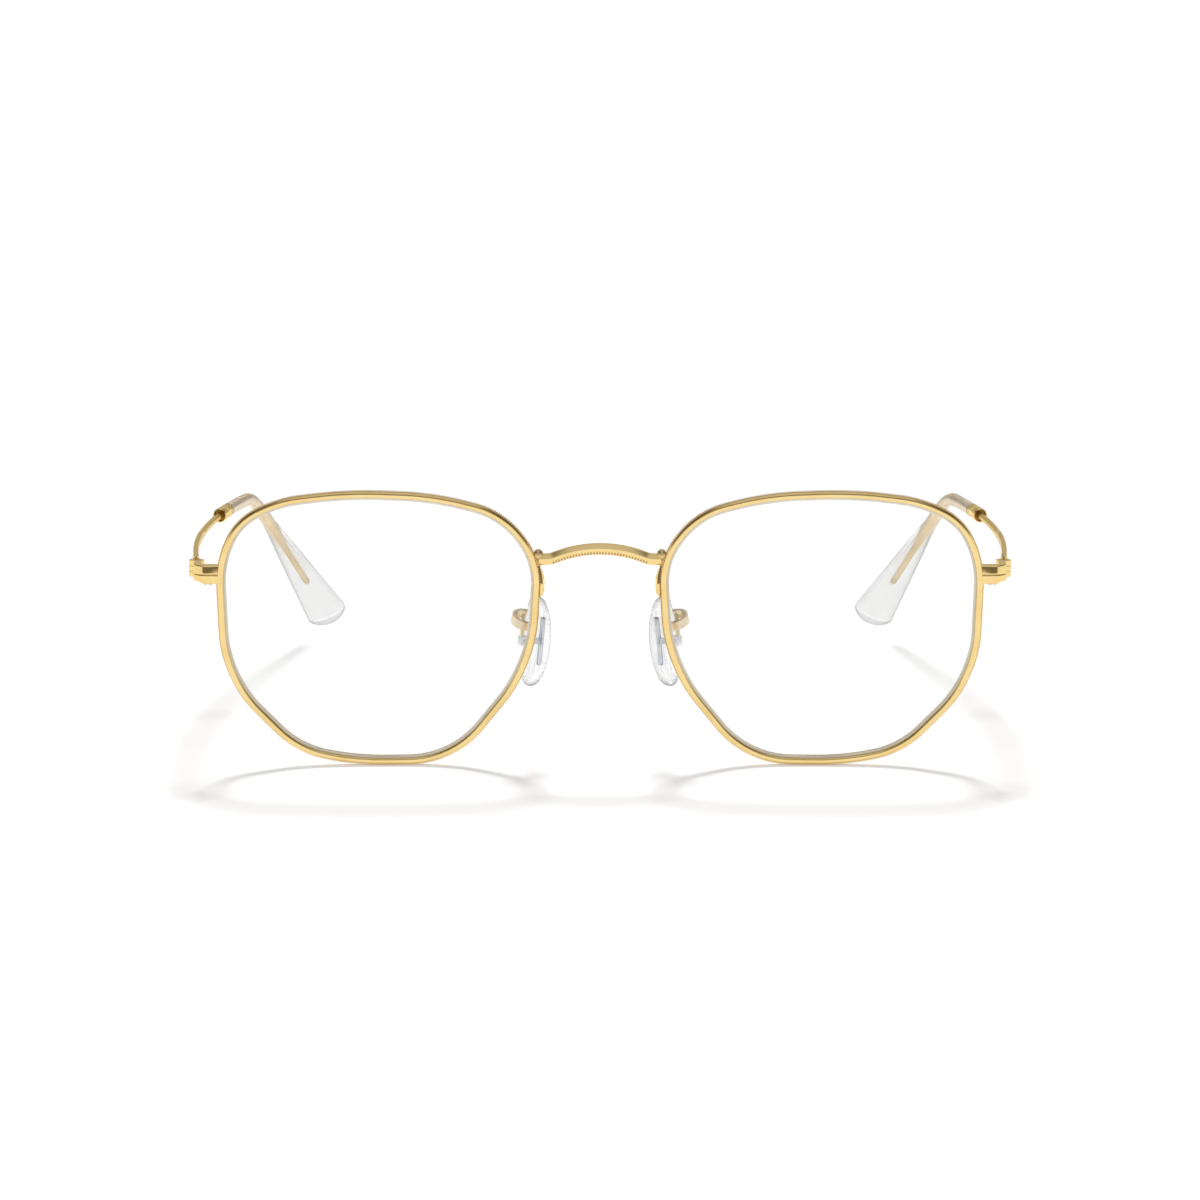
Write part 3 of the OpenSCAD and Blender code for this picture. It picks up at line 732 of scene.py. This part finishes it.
def bridgeBar():
    size = bridgeValues
    half, rise, flare, endsZ = size["half"], size["rise"], size["flare"], size["endsZ"]
    bend = 2 * math.atan(rise / half)
    arch = half / math.sin(bend) - flare
    archZ = endsZ + rise - arch
    midY = frontY + size["front"] + size["deep"] / 2
    flareSteps, archSteps = 8, 40
    # straight end, flare and arch, each spot with the bar's slope there
    ending = [(-half - 1, endsZ, 0), (-half - 0.4, endsZ, 0)]
    for step in range(flareSteps + 1):
        angle = bend * step / flareSteps
        ending.append((-half + flare * math.sin(angle), endsZ + flare * (1 - math.cos(angle)), angle))
    path = list(ending)
    for step in range(1, archSteps):
        angle = bend * (2 * step / archSteps - 1)
        path.append((arch * math.sin(angle), archZ + arch * math.cos(angle), -angle))
    path += [(-x, z, -slope) for x, z, slope in reversed(ending)]
    rings = []
    for x, z, slope in path:
        rings.append([(x - math.sin(slope) * up, midY + back, z + math.cos(slope) * up)
                      for up, back in size["section"]])
    bar = drawThrough("bridgeBar", rings)
    # one rib, turned round the middle of the arch
    low = arch - size["ribDown"]
    first = -math.radians(size["ribSpan"] / 2)
    clearSelection()
    bpy.ops.mesh.primitive_cube_add(
        size=mm, rotation=(math.radians(size["ribLean"]), first, 0), scale=size["ribSize"],
        location=(low * math.sin(first) * mm, (midY - size["ribFront"]) * mm,
                  (archZ + low * math.cos(first)) * mm))
    rib = bpy.context.object
    placeInMesh(rib)
    startEdit(rib)
    selectAll()
    bpy.ops.mesh.bevel(offset=size["ribRound"] * mm, segments=2)
    selectAll()
    bpy.ops.mesh.spin(steps=size["ribs"], dupli=True, angle=2 * first,
                      center=(0, midY * mm, archZ * mm), axis=(0, 1, 0))
    endEdit()

    def onBand(face):
        x, y, z = face.calc_center_median()
        return (abs(x) < size["bandHalf"] * mm and y < (midY - size["bandFront"]) * mm
                and math.hypot(x, z - archZ * mm) < (arch - size["bandDown"]) * mm)

    # the bar behind and between the ribs gets painted shade
    giveLooks(bar, polishedGold, milledGoldAndShade)
    paintWhere(bar, 1, onBand)
    giveLooks(rib, polishedGold)
    bar = joinPieces(bar, rib)
    smooth(bar, 24)
    return bar


def bridgeKnob():
    # the rounded end of the bar where it curls back over the rim
    size = bridgeValues
    count = 20
    angles = [math.tau * number / count for number in range(count)]
    rings = []
    for back, share in size["knobProfile"]:
        radius = size["knobRadius"] * share
        rings.append([(-size["knobX"] + radius * math.cos(angle), frontY + back,
                       size["endsZ"] + size["knobUp"] + radius * math.sin(angle)) for angle in angles])
    knob = drawThrough("bridgeKnob_left", rings)
    smooth(knob, 60)
    return knob


def bridgeFoot():
    # leaf down the nose side of the rim, widest half way
    size = bridgeValues
    guide = rimOutline("footGuide", rimValues["cover"])
    # the rim's outer edge on the nose side, as (up, out)
    spots = sorted((corner.co.y / mm, corner.co.x / mm) for corner in guide.data.vertices
                   if corner.co.x > 15 * mm and 2 * mm < corner.co.y < 14 * mm)
    bpy.data.objects.remove(guide)
    steps = 16
    rings = []
    for step in range(steps + 1):
        share = step / steps
        up = size["footTop"] + (size["footBottom"] - size["footTop"]) * share
        for (lowUp, lowX), (highUp, highX) in zip(spots, spots[1:]):
            if lowUp <= up <= highUp:
                edgeX = lowX + (highX - lowX) * (up - lowUp) / (highUp - lowUp)
        # narrow at the top, full from half way, drawn in at the bottom
        leaf = min(1, 0.12 + 1.9 * share) * (1 - 0.6 * max(0, share - 0.9) / 0.1)
        wide, deep = size["footWide"] * leaf, 0.35 + 0.4 * leaf
        half = (wide + size["footIn"] * leaf) / 2
        x = -shared["lensX"] + edgeX + wide - half
        rings.append([(x + out, frontY + rimValues["depth"] / 2 + back, shared["lensZ"] + up)
                      for out, back in roundShape(half, deep, power=2.6, count=16)])
    foot = drawThrough("bridgeFoot_left", rings)
    # the side against the rim, near the top, gets painted shade and a painted dark reflection
    giveLooks(foot, polishedGold, footShadeGold)
    footShadeZ = (shared["lensZ"] + size["footShadeFrom"]) * mm
    paintWhere(foot, 1, lambda face: face.normal.x < 0.2 and face.calc_center_median().z > footShadeZ)
    smooth(foot, 50)
    return foot


def bridgeSolder():
    # run-out of solder where bar, knob and foot meet the rim
    size = bridgeValues
    clearSelection()
    bpy.ops.mesh.primitive_uv_sphere_add(
        segments=24, ring_count=14, radius=mm, scale=size["solderSize"],
        location=(size["solderX"] * mm, (frontY + size["solderBack"]) * mm,
                  (size["endsZ"] - size["solderDown"]) * mm))
    blob = named("bridgeSolder_left")
    placeInMesh(blob)
    startEdit(blob)  # it sags down towards the foot
    selectWhere(blob, "verts", lambda corner: corner.co.z < (size["endsZ"] - 0.5) * mm)
    bpy.ops.transform.translate(value=(-0.05 * mm, 0, -0.35 * mm), use_proportional_edit=True,
                                proportional_edit_falloff="SMOOTH", proportional_size=0.8 * mm)
    endEdit()
    smooth(blob, 80)
    return blob


fit(bridgeBar(), None, "front", "gold_metal", "bridge")
fitPair(bridgeSolder(), satinGold, "front", "gold_metal", angle=80)
fitPair(bridgeKnob(), satinGold, "front", "gold_metal")
fitPair(bridgeFoot(), None, "front", "gold_metal")
print("bridge done")


# small metal parts keep the CAD shape, with their edges eased by the last number

smallParts = {
    "closing_screw": ("lockScrew", screwGold, "front", "gold_screw", 0.04),
    "hinge_front": ("hingeKnuckles", polishedGold, "front", "gold_metal", 0.07),
    "hinge_screw": ("hingePin", screwGold, "front", "gold_screw", 0.03),
    "hinge_temple": ("hingeTail", polishedGold, "arm", "gold_metal", 0.07),
    "pad_arm": ("padRibbon", ribbonGold, "front", "gold_metal", 0.1),
    "pad_box": ("padHousing", brushedSilver, "front", "silver_metal", 0.08),
    "pad_screw": ("padPin", brushedSilver, "front", "silver_metal", 0.03),
}

for node, (name, look, body, slot, edge) in smallParts.items():
    for side in ("_left", "_right"):
        piece = softCopy(node + side, name + side, edge)
        fit(piece, look, body if body == "front" else body + side, slot, node + side)
print("small metal parts done")


# end blocks and lock blocks, bent round the front corner

cornerValues = {
    "from": -62.0, "side": -shared["hingeX"] - 0.15, "round": 2.1, "front": 0.1, "back": 2.5,
    # strip that runs back to the hinge, its end, top and bottom
    "strip": 1.15, "stripTo": 6.2, "stripTop": 0.5, "stripLow": -1.35,
    # height over the split, and how far the front leans back at its start and at the corner
    "top": 1.54, "topLeans": (0.16, 0.3), "bottom": -1.49, "bottomLeans": (-0.1, -0.16),
    "gap": 0.005,  # half the gap between the blocks
    "cutFrom": -64.25, "cutSlope": 0.32,  # the lock block is cut away towards the corner
}


def blockRing(outer, inner, low, high, lean):
    # lean sets the top (or with a minus the bottom) of the front face back
    middle, half = (outer + inner) / 2, (inner - outer) / 2
    ring = []
    for across, up in roundShape(1, 1, power=10, count=32):
        back = abs(lean) * max(0, -across) * (1 + math.copysign(up, up * lean)) / 2
        spot = middle + half * across + half.normalized() * back
        ring.append((spot.x, frontY + spot.y,
                     shared["splitZ"] + (low + high) / 2 + (high - low) / 2 * up))
    return ring


def cornerBlock(name, low, high, leans, hasStrip):
    size = cornerValues
    side, strip, back = size["side"], size["strip"], size["back"]
    centre = Vector((side + size["round"], size["front"] + size["round"]))
    # outer spot, inner spot and lean of each ring, seen from above
    plan = []
    for share in (0, 0.25, 0.5, 0.75, 1):
        x = size["from"] + (centre.x - size["from"]) * share
        lean = leans[0] + (leans[1] - leans[0]) * share
        plan.append((Vector((x, size["front"])), Vector((x, back)), lean))
    for degrees in (12, 24, 36, 48, 60, 72, 82):
        angle = math.radians(degrees)
        outer = centre + size["round"] * Vector((-math.sin(angle), -math.cos(angle)))
        inner = Vector((centre.x + (side + strip - centre.x) * degrees / 90, back))
        plan.append((outer, inner, leans[1] * (1 - degrees / 90)))
    if hasStrip:
        for y in (back + 0.1, size["stripTo"]):
            plan.append((Vector((side, y)), Vector((side + strip, y)), 0))
    rings = []
    for outer, inner, lean in plan:
        under = low if hasStrip else low + max(0, size["cutFrom"] - outer.x) * size["cutSlope"]
        rings.append(blockRing(outer, inner, under, high, lean))
    block = drawThrough(name, rings)
    smooth(block, 50)
    return block


def hingeStrip():
    # the strip hangs lower behind the lock, where the hinge is soldered on
    size = cornerValues
    half, top, low = size["strip"] / 2, size["stripTop"], size["stripLow"]
    rings = []
    for y, less in ((size["back"] + 0.12, 0.1), (size["back"] + 0.22, 0), (size["stripTo"] - 0.02, 0)):
        shape = roundShape(half - less, (top - low) / 2 - less, power=8, count=24)
        rings.append([(size["side"] + half + across, frontY + y,
                       shared["splitZ"] + (low + top) / 2 + up) for across, up in shape])
    strip = drawThrough("hingeStrip", rings)
    smooth(strip, 50)
    return strip


upperBlock = cornerBlock("endBlock_left", cornerValues["gap"], cornerValues["top"],
                         cornerValues["topLeans"], hasStrip=True)
lowerBlock = cornerBlock("lockBlock_left", cornerValues["bottom"], -cornerValues["gap"],
                         cornerValues["bottomLeans"], hasStrip=False)
upperBlock = joinPieces(upperBlock, hingeStrip())
fitPair(upperBlock, polishedGold, "front", "gold_metal", "endpiece_left", angle=50)
fitPair(lowerBlock, polishedGold, "front", "gold_metal", "closing_block_left", angle=50)
print("end blocks done")


# arms

armValues = {
    "start": (-shared["hingeX"], shared["hingeBack"], shared["splitZ"] + 1.3),
    "out": 5.4, "down": 1.6,  # degrees
    "bow": 350.0, "bowLong": 87.6105,  # slight curve from the hinge to the bend
    "bend": 21.0, "bendTurn": 33.5, "bendRoll": 11.2,
    "run": 41.4111, "roll": -16.0,  # straight stretch down to the paddle's round end
    "flatFrom": 2.1, "flatTo": 36.0, "flatWide": 0.475, "flatHigh": 0.675,
    "wire": 0.6, "wireEnd": 29.1,  # along the straight run
    "ferruleFrom": 63.5, "ferruleLong": 7.0, "ferrule": 1.23, "bore": 0.61,
    "sleeve": 1.17, "neckAt": 4.0, "paddleHalf": 3.7, "paddleThick": 0.9,
}
armTurn = turn("Z", armValues["out"]) @ turn("X", -armValues["down"])
bendLong = armValues["bend"] * math.radians(armValues["bendTurn"])
ferruleTo = armValues["ferruleFrom"] + armValues["ferruleLong"]


def alongArm(far):
    # place and direction of the wire's middle line, far mm from the hinge pin
    size = armValues
    start = Vector(size["start"]) + Vector((0, frontY, 0))
    angle = min(far, size["bowLong"]) / size["bow"]
    spot = start + armTurn @ (size["bow"] * Vector((1 - math.cos(angle), math.sin(angle), 0)))
    way = armTurn @ turn("Z", -math.degrees(angle))
    if far <= size["bowLong"]:
        return spot, way
    way = way @ turn("Y", -size["bendRoll"])
    angle = min(far - size["bowLong"], bendLong) / size["bend"]
    spot = spot + way @ (size["bend"] * Vector((0, math.sin(angle), math.cos(angle) - 1)))
    way = way @ turn("X", -math.degrees(angle))
    return spot + way @ Vector((0, max(0, far - size["bowLong"] - bendLong), 0)), way


def armRing(far, wide, high, power=2.0, roll=0.0, count=16):
    spot, way = alongArm(far)
    way = way @ turn("Y", roll)
    shape = roundShape(wide, high, power, count)
    return [spot + way @ Vector((across, 0, up)) for across, up in shape]


def spread(first, last, step):
    count = max(1, round(abs(last - first) / step))
    return [first + (last - first) * number / count for number in range(count + 1)]


def armWire():
    # flat near the hinge, round from there on, with a rounded end
    size = armValues
    wide, high, wire = size["flatWide"], size["flatHigh"], size["wire"]
    flatFrom, flatTo, bendAt = size["flatFrom"], size["flatTo"], size["bowLong"]
    runAt = bendAt + bendLong
    end = runAt + size["wireEnd"]
    edge = 0.08
    rings = [armRing(flatFrom, wide - edge, high - edge, 4), armRing(flatFrom + edge, wide, high, 4)]
    rings += [armRing(far, wide, high, 4) for far in spread(flatFrom + 1, flatTo - 3, 3)]
    for far in spread(flatTo - 2, flatTo + 1, 1):
        share = (far - flatTo + 2) / 3
        rings.append(armRing(far, wide + (wire - wide) * share, high + (wire - high) * share,
                             4 - 2 * share))
    for first, last, step in (
            (flatTo + 3, bendAt, 3), (bendAt + 1, runAt, 1), (runAt + 2, end - wire, 4)):
        rings += [armRing(far, wire, wire) for far in spread(first, last, step)]
    for degrees in (30, 55, 75, 87):
        radius = wire * math.cos(math.radians(degrees))
        rings.append(armRing(end - wire * (1 - math.sin(math.radians(degrees))), radius, radius))
    piece = drawThrough("armWire_left", rings)
    giveLooks(piece, wireGold, sleevedGold)
    sleeveY = alongArm(ferruleTo)[0].y * mm
    paintWhere(piece, 1, lambda face: face.calc_center_median().y > sleeveY)
    smooth(piece, 50)
    return piece


def armFerrule():
    # turned collar: open mouth, chamfer, groove near each end
    size = armValues
    front, back, full, bore = size["ferruleFrom"], ferruleTo, size["ferrule"], size["bore"]
    turned = [
        (front + 1.2, bore), (front + 1.2, 0.9), (front + 0.1, 0.97), (front, 1.03),
        (front, full - 0.1), (front + 0.1, full), (front + 0.95, full), (front + 1.02, full - 0.1),
        (front + 1.2, full - 0.1), (front + 1.27, full), (front + 2.9, full), (front + 4.4, full),
        (back - 1.5, full), (back - 1.43, full - 0.09), (back - 1.25, full - 0.09),
        (back - 1.18, full), (back - 0.12, full), (back, full - 0.08), (back, bore)]
    rings = [armRing(far, radius, radius, count=32) for far, radius in turned]
    ferrule = drawThrough("armFerrule_left", rings, closeTube=True)
    softenEdges(ferrule, 0.03)
    mouth = alongArm(front + 0.6)[0] * mm
    oneBehind = alongArm(front + 1.6)[0] * mm  # 1 mm further in

    def inMouth(face):
        spot = face.calc_center_median() - mouth
        return spot.length < 1.12 * mm and spot.cross(oneBehind - mouth).length < 0.98 * mm * mm

    # the inside of the mouth gets painted shade
    giveLooks(ferrule, polishedGold, valleyShadeGold)
    paintWhere(ferrule, 1, inMouth)
    smooth(ferrule, 40)
    return ferrule


def armTip():
    # clear sleeve that widens to a paddle behind the bend
    size = armValues
    bendAt, run, roll, neck = size["bowLong"], size["run"], size["roll"], size["neckAt"]
    sleeve, half, thick = size["sleeve"], size["paddleHalf"], size["paddleThick"]
    runAt = bendAt + bendLong
    count = 28
    rings = [armRing(ferruleTo, sleeve - 0.1, sleeve - 0.1, count=count)]
    for far in [ferruleTo + 0.1] + spread(ferruleTo + 2, bendAt, 3):
        rings.append(armRing(far, sleeve, sleeve, count=count))
    for far in spread(bendAt + 0.9, runAt + neck, 0.9):
        turned = roll * (far - bendAt) / (runAt + neck - bendAt)
        rings.append(armRing(far, sleeve, sleeve, 2, turned, count))
    for along in spread(neck + 1.5, run, 1.5):
        share = (along - neck) / (run - neck)
        wide = sleeve - 0.02 + (half * 0.985 - sleeve + 0.02) * share
        # the middle stays full over the wire and thins out past its end
        past = min(1, max(0, (along - size["wireEnd"] + 6) / 9))
        high = sleeve + (thick - sleeve) * past * past * (3 - 2 * past)
        rings.append(armRing(runAt + along, wide, high, 2 + 0.9 * share, roll, count))
    for degrees in (6, 15, 25, 35, 45, 54, 62, 69, 75, 80, 84, 87, 89):
        angle = math.radians(degrees)
        wide = half * math.cos(angle)
        high = thick * (1 - (1 - math.cos(angle)) ** 3) ** 0.5
        if degrees > 80:
            high = min(high, wide * 1.6)
        rings.append(armRing(runAt + run + half * math.sin(angle), wide, high, 2.9, roll, count))
    tip = drawThrough("armTip_left", rings)
    wireEnd, way = alongArm(runAt + size["wireEnd"] + 2)
    way = way @ turn("Y", roll)
    flat, onwards = way @ Vector((0, 0, 1)), way @ Vector((0, 1, 0))
    outerSide = Vector((-0.85, 0, -0.5))

    def onEdge(face):
        # the paddle's round end and its outer long side, past the end of the wire
        return ((face.calc_center_median() / mm - wireEnd).dot(onwards) > 0
                and abs(face.normal.dot(flat)) < 0.3
                and (face.normal.dot(outerSide) > 0.45 or face.normal.dot(onwards) > 0.3))

    giveLooks(tip, clearSleeve, paddleEdge)
    paintWhere(tip, 1, onEdge)
    smooth(tip, 60)
    return tip


for piece, slot, node in (
        (armWire(), "gold_metal", "temple_wire_left"), (armFerrule(), "gold_metal", "ferrule_left"),
        (armTip(), "clear_plastic", "temple_tip_left")):
    fitPair(piece, None, "arm_left", slot, node, angle=50)
print("arms done")


# nose pads

padValues = {
    "at": (-12.25, 7.1, shared["lensZ"] - 3.1), "splay": 27.0, "lean": 6.0,
    "off": 2.5,  # middle of the pad from the screw
    "long": 14.8, "wide": 7.0, "thick": 1.8, "bow": 26.0,
    "ends": 2.35,  # a little squarer than an oval, which is 2
    "round": 0.42, "insets": (0.06, 0.1, 0.13),  # shares of the thickness and of the width
    # silver plate inside, nearer the nose, and its tab with the bore for the screw
    "plateLong": 8.0, "plateWide": 1.0, "plateThick": 0.4, "plateOff": 2.95,
    "tabWide": 0.66, "tabHigh": 1.0, "tabFrom": -0.5, "tabBore": 0.27,
    "endRound": 0.45,  # share of the width that rounds an end of plate or tab
}
padStart = Vector(padValues["at"]) + Vector((0, frontY, 0))
padTurn = turn("Z", padValues["splay"]) @ turn("Y", padValues["lean"])


def nosePad():
    size = padValues
    long, wide, thick, count = size["long"], size["wide"], size["thick"], 48
    clearSelection()
    bpy.ops.mesh.primitive_circle_add(vertices=count, radius=mm, fill_type="NGON")
    pad = named("nosePad_left")
    startEdit(pad)
    shape = roundShape(wide / 2, long / 2, size["ends"], count)
    outline = [(x * mm, y * mm, -thick / 2 * mm) for x, y in shape]
    moveCorners(pad, lambda number, old: outline[number])
    selectAll()
    bpy.ops.mesh.extrude_region_move(TRANSFORM_OT_translate={"value": (0, 0, thick * mm)})
    selectWhere(pad, "edges", lambda edge: abs(edge.verts[0].co.z - edge.verts[1].co.z) < 0.0001 * mm)
    bpy.ops.mesh.bevel(offset=thick * size["round"] * mm, segments=5, clamp_overlap=False)
    for level in (1, -1):
        selectWhere(pad, "faces", lambda face: len(face.verts) > 4 and face.verts[0].co.z * level > 0)
        for inset in size["insets"]:
            bpy.ops.mesh.inset(thickness=inset * wide * mm)
        bpy.ops.mesh.poke()

    def bowed(number, spot):
        # bowed towards the nose, and in its place
        across, up, deep = spot / mm
        deep += size["off"] - (across ** 2 + up ** 2) / (2 * size["bow"])
        return (padStart + padTurn @ Vector((deep, across, up))) * mm

    moveCorners(pad, bowed)
    endEdit()
    smooth(pad, 50)
    return pad


def plateBlank(name, fromX, toX, wide, high):
    clearSelection()
    bpy.ops.mesh.primitive_cube_add(
        size=mm, location=((fromX + toX) / 2 * mm, 0, 0), scale=(toX - fromX, wide, high))
    blank = named(name)
    placeInMesh(blank)
    return blank


def roundEnds(blank, width, test):
    startEdit(blank)
    selectWhere(blank, "edges", test)
    bpy.ops.mesh.bevel(offset=width * padValues["endRound"] * mm, segments=6)
    endEdit()


def padPlate():
    # round-ended plate, and from it a tab back to the screw
    size = padValues
    off, half = size["plateOff"], size["plateThick"] / 2
    plate = plateBlank("padPlate_left", off - half, off + half, size["plateWide"], size["plateLong"])
    tab = plateBlank("padTab", size["tabFrom"], off, size["tabWide"], size["tabHigh"])
    roundEnds(plate, size["plateWide"],
              lambda edge: abs(edge.verts[0].co.x - edge.verts[1].co.x) > half * mm)
    roundEnds(tab, size["tabHigh"],
              lambda edge: all(corner.co.x < 0 for corner in edge.verts)
              and abs(edge.verts[0].co.y - edge.verts[1].co.y) > 0.1 * mm)
    # bore for the screw
    clearSelection()
    bpy.ops.mesh.primitive_cylinder_add(vertices=24, radius=size["tabBore"] * mm, depth=4 * mm,
                                        rotation=(math.radians(90), 0, 0))
    drill = bpy.context.object
    pick(tab)
    cut = tab.modifiers.new("screwBore", "BOOLEAN")
    cut.object = drill
    cut.solver = "EXACT"
    bpy.ops.object.modifier_apply(modifier=cut.name)
    bpy.data.objects.remove(drill)
    softenEdges(plate, 0.05)
    plate = joinPieces(plate, tab)
    startEdit(plate)
    moveCorners(plate, lambda number, spot: padStart * mm + padTurn @ spot)
    endEdit()
    smooth(plate, 40)
    return plate


fitPair(nosePad(), clearPad, "pad_left", "clear_silicone", "nose_pad_left", angle=50)
fitPair(padPlate(), plateSilver, "pad_left", "silver_metal", "pad_insert_left", angle=40)
print("nose pads done")


# floor, light and camera

studioValues = {
    "floorShade": 0.8, "floorGlow": 0.37, "floorSize": 14, "floorAt": (0, 3, 0),
    "skyStrength": 1.0,
    "keyTurn": -42.0, "keySoft": 9.0, "keyStrength": 2.0,  # low sun behind the glasses, in degrees
    "cameraPlace": (0, -1.0333, 0.179), "cameraTilt": 81.04, "cameraLens": 180, "cameraSensor": 36,
}


def floorLook():
    # lit by the lamps, with a little of its own brightness so that the bare floor is white
    shade = studioValues["floorShade"]
    look = Look("white table")
    grain = look.noise(look.where(), 0.02, 2)
    table = look.add("BsdfDiffuse", {
        "Color": look.tint(grain, (shade, shade, shade), (shade * 0.99,) * 3)})
    straight, mirrored, through = [
        look.add("LightPath", output=kind)
        for kind in ("Is Camera Ray", "Is Glossy Ray", "Is Transmission Ray")]
    glow = look.add("Emission", {
        "Color": (1, 1, 1), "Strength": (straight + mirrored + through) * studioValues["floorGlow"]})
    return look.done(look.add("AddShader", {0: table, 1: glow}))


def studioSky():
    # what the metal mirrors: a bright room, dimmer above and at the back, a dark curtain high up on
    # either side and a dark stretch of wall behind the camera
    world = bpy.context.scene.world or bpy.data.worlds.new("studio")
    sky = Look("studio", world)
    toward = sky.add("TexCoord", output="Generated")
    sideways = sky.add("Math", {0: sky.axis(toward, 0)}, operation="ABSOLUTE")
    backwards, upwards = sky.axis(toward, 1), sky.axis(toward, 2)
    curtain = sky.between(sideways, 0.22, 0.45) * sky.between(upwards, 0.25, 0.45)
    wall = sky.between(backwards, -0.82, -0.92)
    wall = wall * sky.between(upwards, 0.45, 0.3) * sky.between(upwards, -0.02, 0.12)
    room = sky.tint(sky.between(upwards, 0.2, 0.9), (1, 1, 1), (0.62, 0.62, 0.63))
    room = sky.tint(sky.between(backwards, 0.3, 0.9), room, (0.55, 0.54, 0.52))
    room = sky.tint(wall, room, (0.16, 0.14, 0.11))
    room = sky.tint(curtain, room, (0.08, 0.065, 0.05))
    sky.done(sky.add("Background", {"Color": room, "Strength": studioValues["skyStrength"]}))
    return world


clearSelection()
bpy.ops.mesh.primitive_plane_add(size=studioValues["floorSize"], location=studioValues["floorAt"])
table = named("table")
giveLooks(table, floorLook())

bpy.context.scene.world = studioSky()

clearSelection()
bpy.ops.object.light_add(type="SUN", rotation=(math.radians(studioValues["keyTurn"]), 0, 0))
key = named("keyLight")
key.data.angle = math.radians(studioValues["keySoft"])
key.data.energy = studioValues["keyStrength"]
key.visible_glossy = False  # the metal mirrors the room, not the lamp

clearSelection()
bpy.ops.object.camera_add(location=studioValues["cameraPlace"],
                          rotation=(math.radians(studioValues["cameraTilt"]), 0, 0))
camera = bpy.context.object
camera.data.lens = studioValues["cameraLens"]
camera.data.sensor_width = studioValues["cameraSensor"]
camera.data.clip_start = 0.05
camera.data.clip_end = 30
bpy.context.scene.camera = camera
bpy.context.scene.view_settings.view_transform = "Standard"
print("studio ready")
